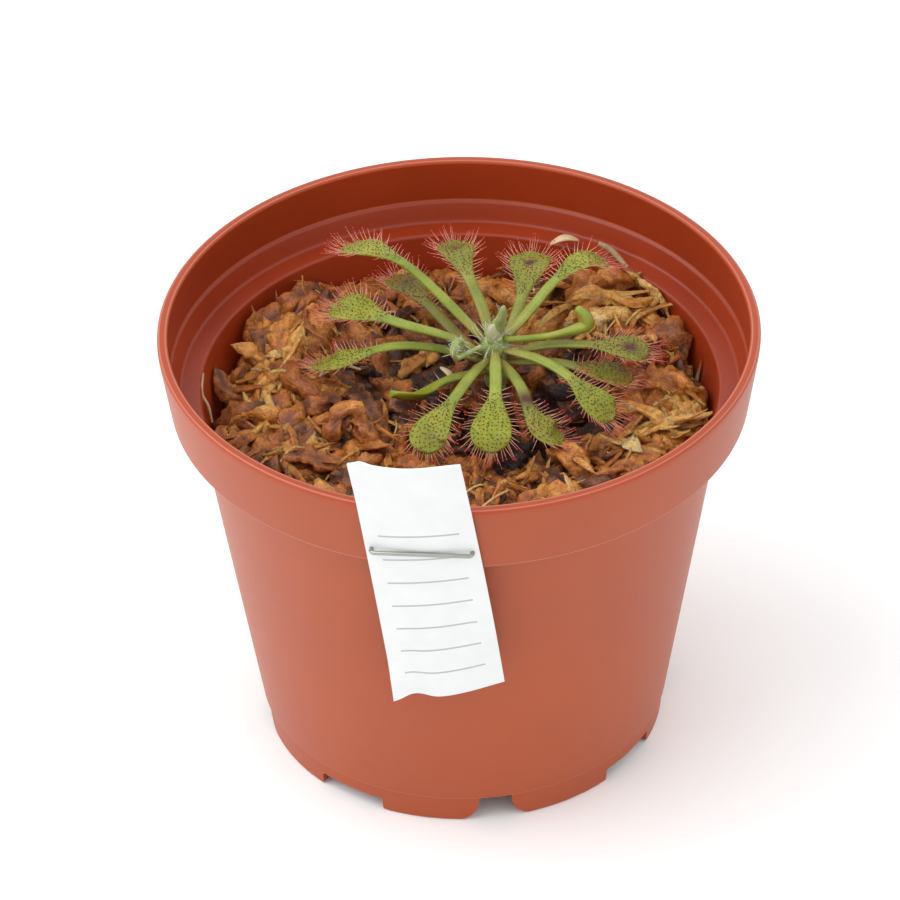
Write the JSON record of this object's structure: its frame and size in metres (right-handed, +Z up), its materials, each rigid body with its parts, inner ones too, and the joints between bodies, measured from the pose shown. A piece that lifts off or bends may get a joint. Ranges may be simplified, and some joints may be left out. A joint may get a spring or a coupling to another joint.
{
  "type": "potted sundew plant",
  "caption": "Sundew rosette with stalked sticky tentacles on spoon-shaped leaves, growing in moss in a round tapered plastic pot with a stapled card label.",
  "frame": {"origin": "on the surface that the pot stands on, under the middle of the whole; the pot's own axis is 1.1 mm behind it", "axes": "+Z up along the pot's axis; -Y is the front, where the label is stapled; +X to the right seen from the front"},
  "size_m": [0.075, 0.0772, 0.0669],
  "materials": {
    "pot_plastic": "satin terracotta-coloured plastic, a little translucent at the rim",
    "moss_fibre": "damp dried moss fibre, brown to pale tan",
    "leaf_green": "soft green leaf with red tentacles and dew",
    "young_green": "pale green young leaf with silvery hairs",
    "card": "white coated card",
    "staple_steel": "bright drawn wire"
  },
  "bodies": {
    "root": {"pot": "pot_plastic", "moss": "moss_fibre", "crown": "young_green", "leaf_01": "leaf_green", "leaf_02": "leaf_green", "leaf_03": "leaf_green", "leaf_04": "leaf_green", "leaf_05": "leaf_green", "leaf_06": "leaf_green", "leaf_07": "leaf_green", "leaf_08": "leaf_green", "leaf_09": "leaf_green", "leaf_10": "leaf_green", "leaf_11": "leaf_green", "leaf_12": "leaf_green", "leaf_13": "leaf_green", "leaf_14": "leaf_green", "young_leaf": "young_green", "coiled_leaf": "young_green", "label": "card", "staple": "staple_steel"}
  },
  "joints": []
}
